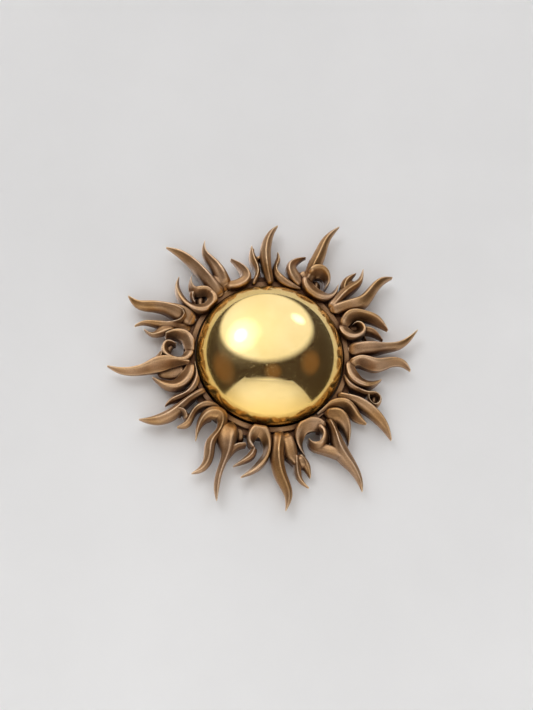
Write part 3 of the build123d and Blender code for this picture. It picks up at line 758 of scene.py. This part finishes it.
# On the ring the painted shade is heavier, and darkens the gap by the dome into a shadow line
ring_bronze = antique_bronze("ring_bronze", rubbed=False, full_grime_and_shade=0.5, bare=0.78)
brass = polished_brass()
black_paint = plain_metal(
    "black_paint", dark=(0.02, 0.018, 0.016), light=(0.045, 0.04, 0.036), metallic=0.0,
    roughness=(0.42, 0.58), scale=40.0
)
zinc = plain_metal(
    "zinc_plate", dark=(0.5, 0.48, 0.42), light=(0.68, 0.66, 0.6), metallic=1.0,
    roughness=(0.28, 0.42), scale=120.0
)
felt = felt_material()

dome()
for flame_name in FLAMES:
    flame(flame_name)

node_materials = {
    "carrier_ring": ring_bronze,
    "back_plate": black_paint,
    "back_plate_screws": zinc,
    "flame_screws": zinc,
    "hanger_strap": zinc,
    "hanger_rivets": zinc,
    "hanger_ring": zinc,
    "felt_ring": felt,
}
for node_name, material in node_materials.items():
    node = frame["nodes"][node_name]
    node.data.materials.clear()
    node.data.materials.append(material)


def stage_plane(name, corners, material):
    obj = new_object(name, corners, [(0, 1, 2, 3)])
    obj.data.materials.append(material)


def one_sided_wall():
    """Pale plaster that shows from the front only, so that the back of the piece can be looked at,
    and that blocks no lamp."""
    n = Nodes("pale_wall")
    cloud = n.noise(3.0)
    plaster = n.noise(30.0, detail=8.0, roughness=0.6)
    relief = n.bump(plaster, strength=0.12, distance=0.002)
    colour = n.ramp(cloud, (0.3, (0.85, 0.855, 0.862)), (0.7, (0.91, 0.915, 0.922)))
    paint = n.principled(Base_Color=colour, Roughness=0.9, Normal=relief)
    clear = n.add("ShaderNodeBsdfTransparent")
    behind = n.add("ShaderNodeNewGeometry").outputs["Backfacing"]
    shadow = n.add("ShaderNodeLightPath").outputs["Is Shadow Ray"]
    hidden = n.math("MAXIMUM", behind, shadow)
    sides = {"i1": paint.outputs[0], "i2": clear.outputs[0]}
    return n.finish(n.add("ShaderNodeMixShader", Fac=hidden, **sides))


def pale_floor():
    n = Nodes("pale_floor")
    colour = n.ramp(n.noise(2.0), (0.3, (0.86, 0.855, 0.84)), (0.7, (0.92, 0.915, 0.9)))
    return n.finish(n.principled(Base_Color=colour, Roughness=0.85))


wall_corners = [
    (-WALL_HALF, WALL_Y, FLOOR_Z), (WALL_HALF, WALL_Y, FLOOR_Z),
    (WALL_HALF, WALL_Y, WALL_TOP), (-WALL_HALF, WALL_Y, WALL_TOP),
]
floor_corners = [
    (-FLOOR_HALF, -FLOOR_REACH, FLOOR_Z), (FLOOR_HALF, -FLOOR_REACH, FLOOR_Z),
    (FLOOR_HALF, FLOOR_REACH, FLOOR_Z), (-FLOOR_HALF, FLOOR_REACH, FLOOR_Z),
]
stage_plane("wall", wall_corners, one_sided_wall())
stage_plane("floor", floor_corners, pale_floor())


def direction(azimuth, elevation):
    """The unit vector towards a place at these angles, in degrees, from the viewer's side."""
    side = math.radians(azimuth)
    rise = math.radians(elevation)
    level = math.cos(rise)
    return Vector((math.sin(side) * level, -math.cos(side) * level, math.sin(rise)))


def glow_sum(tree, place, glows):
    """The summed brightness of soft round glows, each facing its own direction."""
    total = None
    for azimuth, elevation, inner, outer, strength in glows:
        dot = tree.nodes.new("ShaderNodeVectorMath")
        dot.operation = "DOT_PRODUCT"
        dot.inputs[1].default_value = direction(azimuth, elevation)
        tree.links.new(place, dot.inputs[0])
        spread = tree.nodes.new("ShaderNodeMapRange")
        spread.interpolation_type = "SMOOTHSTEP"
        spread.inputs["From Min"].default_value = math.cos(math.radians(outer))
        spread.inputs["From Max"].default_value = math.cos(math.radians(inner))
        spread.inputs["To Max"].default_value = strength
        tree.links.new(dot.outputs["Value"], spread.inputs["Value"])
        add = tree.nodes.new("ShaderNodeMath")
        add.inputs[1].default_value = 0.0
        tree.links.new(spread.outputs[0], add.inputs[0])
        if total is not None:
            tree.links.new(total, add.inputs[1])
        total = add.outputs[0]
    return total


def world():
    """A plain studio: wide soft glows overhead and below, and a dim warm room at eye level."""
    studio = bpy.data.worlds.new("studio")
    bpy.context.scene.world = studio
    studio.use_nodes = True
    tree = studio.node_tree
    tree.nodes.clear()
    place = tree.nodes.new("ShaderNodeTexCoord").outputs["Generated"]
    both = tree.nodes.new("ShaderNodeAddShader")
    groups = [(LIGHT_GLOWS, LIGHT_COLOUR), (ROOM_GLOWS, ROOM_COLOUR)]
    for i, (glows, colour) in enumerate(groups):
        background = tree.nodes.new("ShaderNodeBackground")
        background.inputs["Color"].default_value = colour
        tree.links.new(glow_sum(tree, place, glows), background.inputs["Strength"])
        tree.links.new(background.outputs[0], both.inputs[i])
    out = tree.nodes.new("ShaderNodeOutputWorld")
    tree.links.new(both.outputs[0], out.inputs[0])


def area_light(name, place, aim, size, power):
    """A round lamp."""
    data = bpy.data.lights.new(name, "AREA")
    data.shape = "DISK"
    data.size = size
    data.energy = power
    obj = bpy.data.objects.new(name, data)
    obj.location = place
    obj.rotation_euler = (Vector(aim) - Vector(place)).to_track_quat("-Z", "Y").to_euler()
    bpy.context.collection.objects.link(obj)


def add_camera():
    data = bpy.data.cameras.new("camera")
    data.lens = CAMERA_LENS
    data.sensor_width = CAMERA_SENSOR
    data.shift_x, data.shift_y = CAMERA_SHIFT
    camera = bpy.data.objects.new("camera", data)
    back = direction(CAMERA_AZIMUTH, CAMERA_ELEVATION)
    camera.location = Vector(CAMERA_AIM) + back * CAMERA_DISTANCE
    camera.rotation_euler = (-back).to_track_quat("-Z", "Y").to_euler()
    bpy.context.collection.objects.link(camera)
    bpy.context.scene.camera = camera


world()
for lamp in LAMPS:
    area_light(*lamp)
add_camera()
bpy.context.scene.view_settings.view_transform = "Standard"
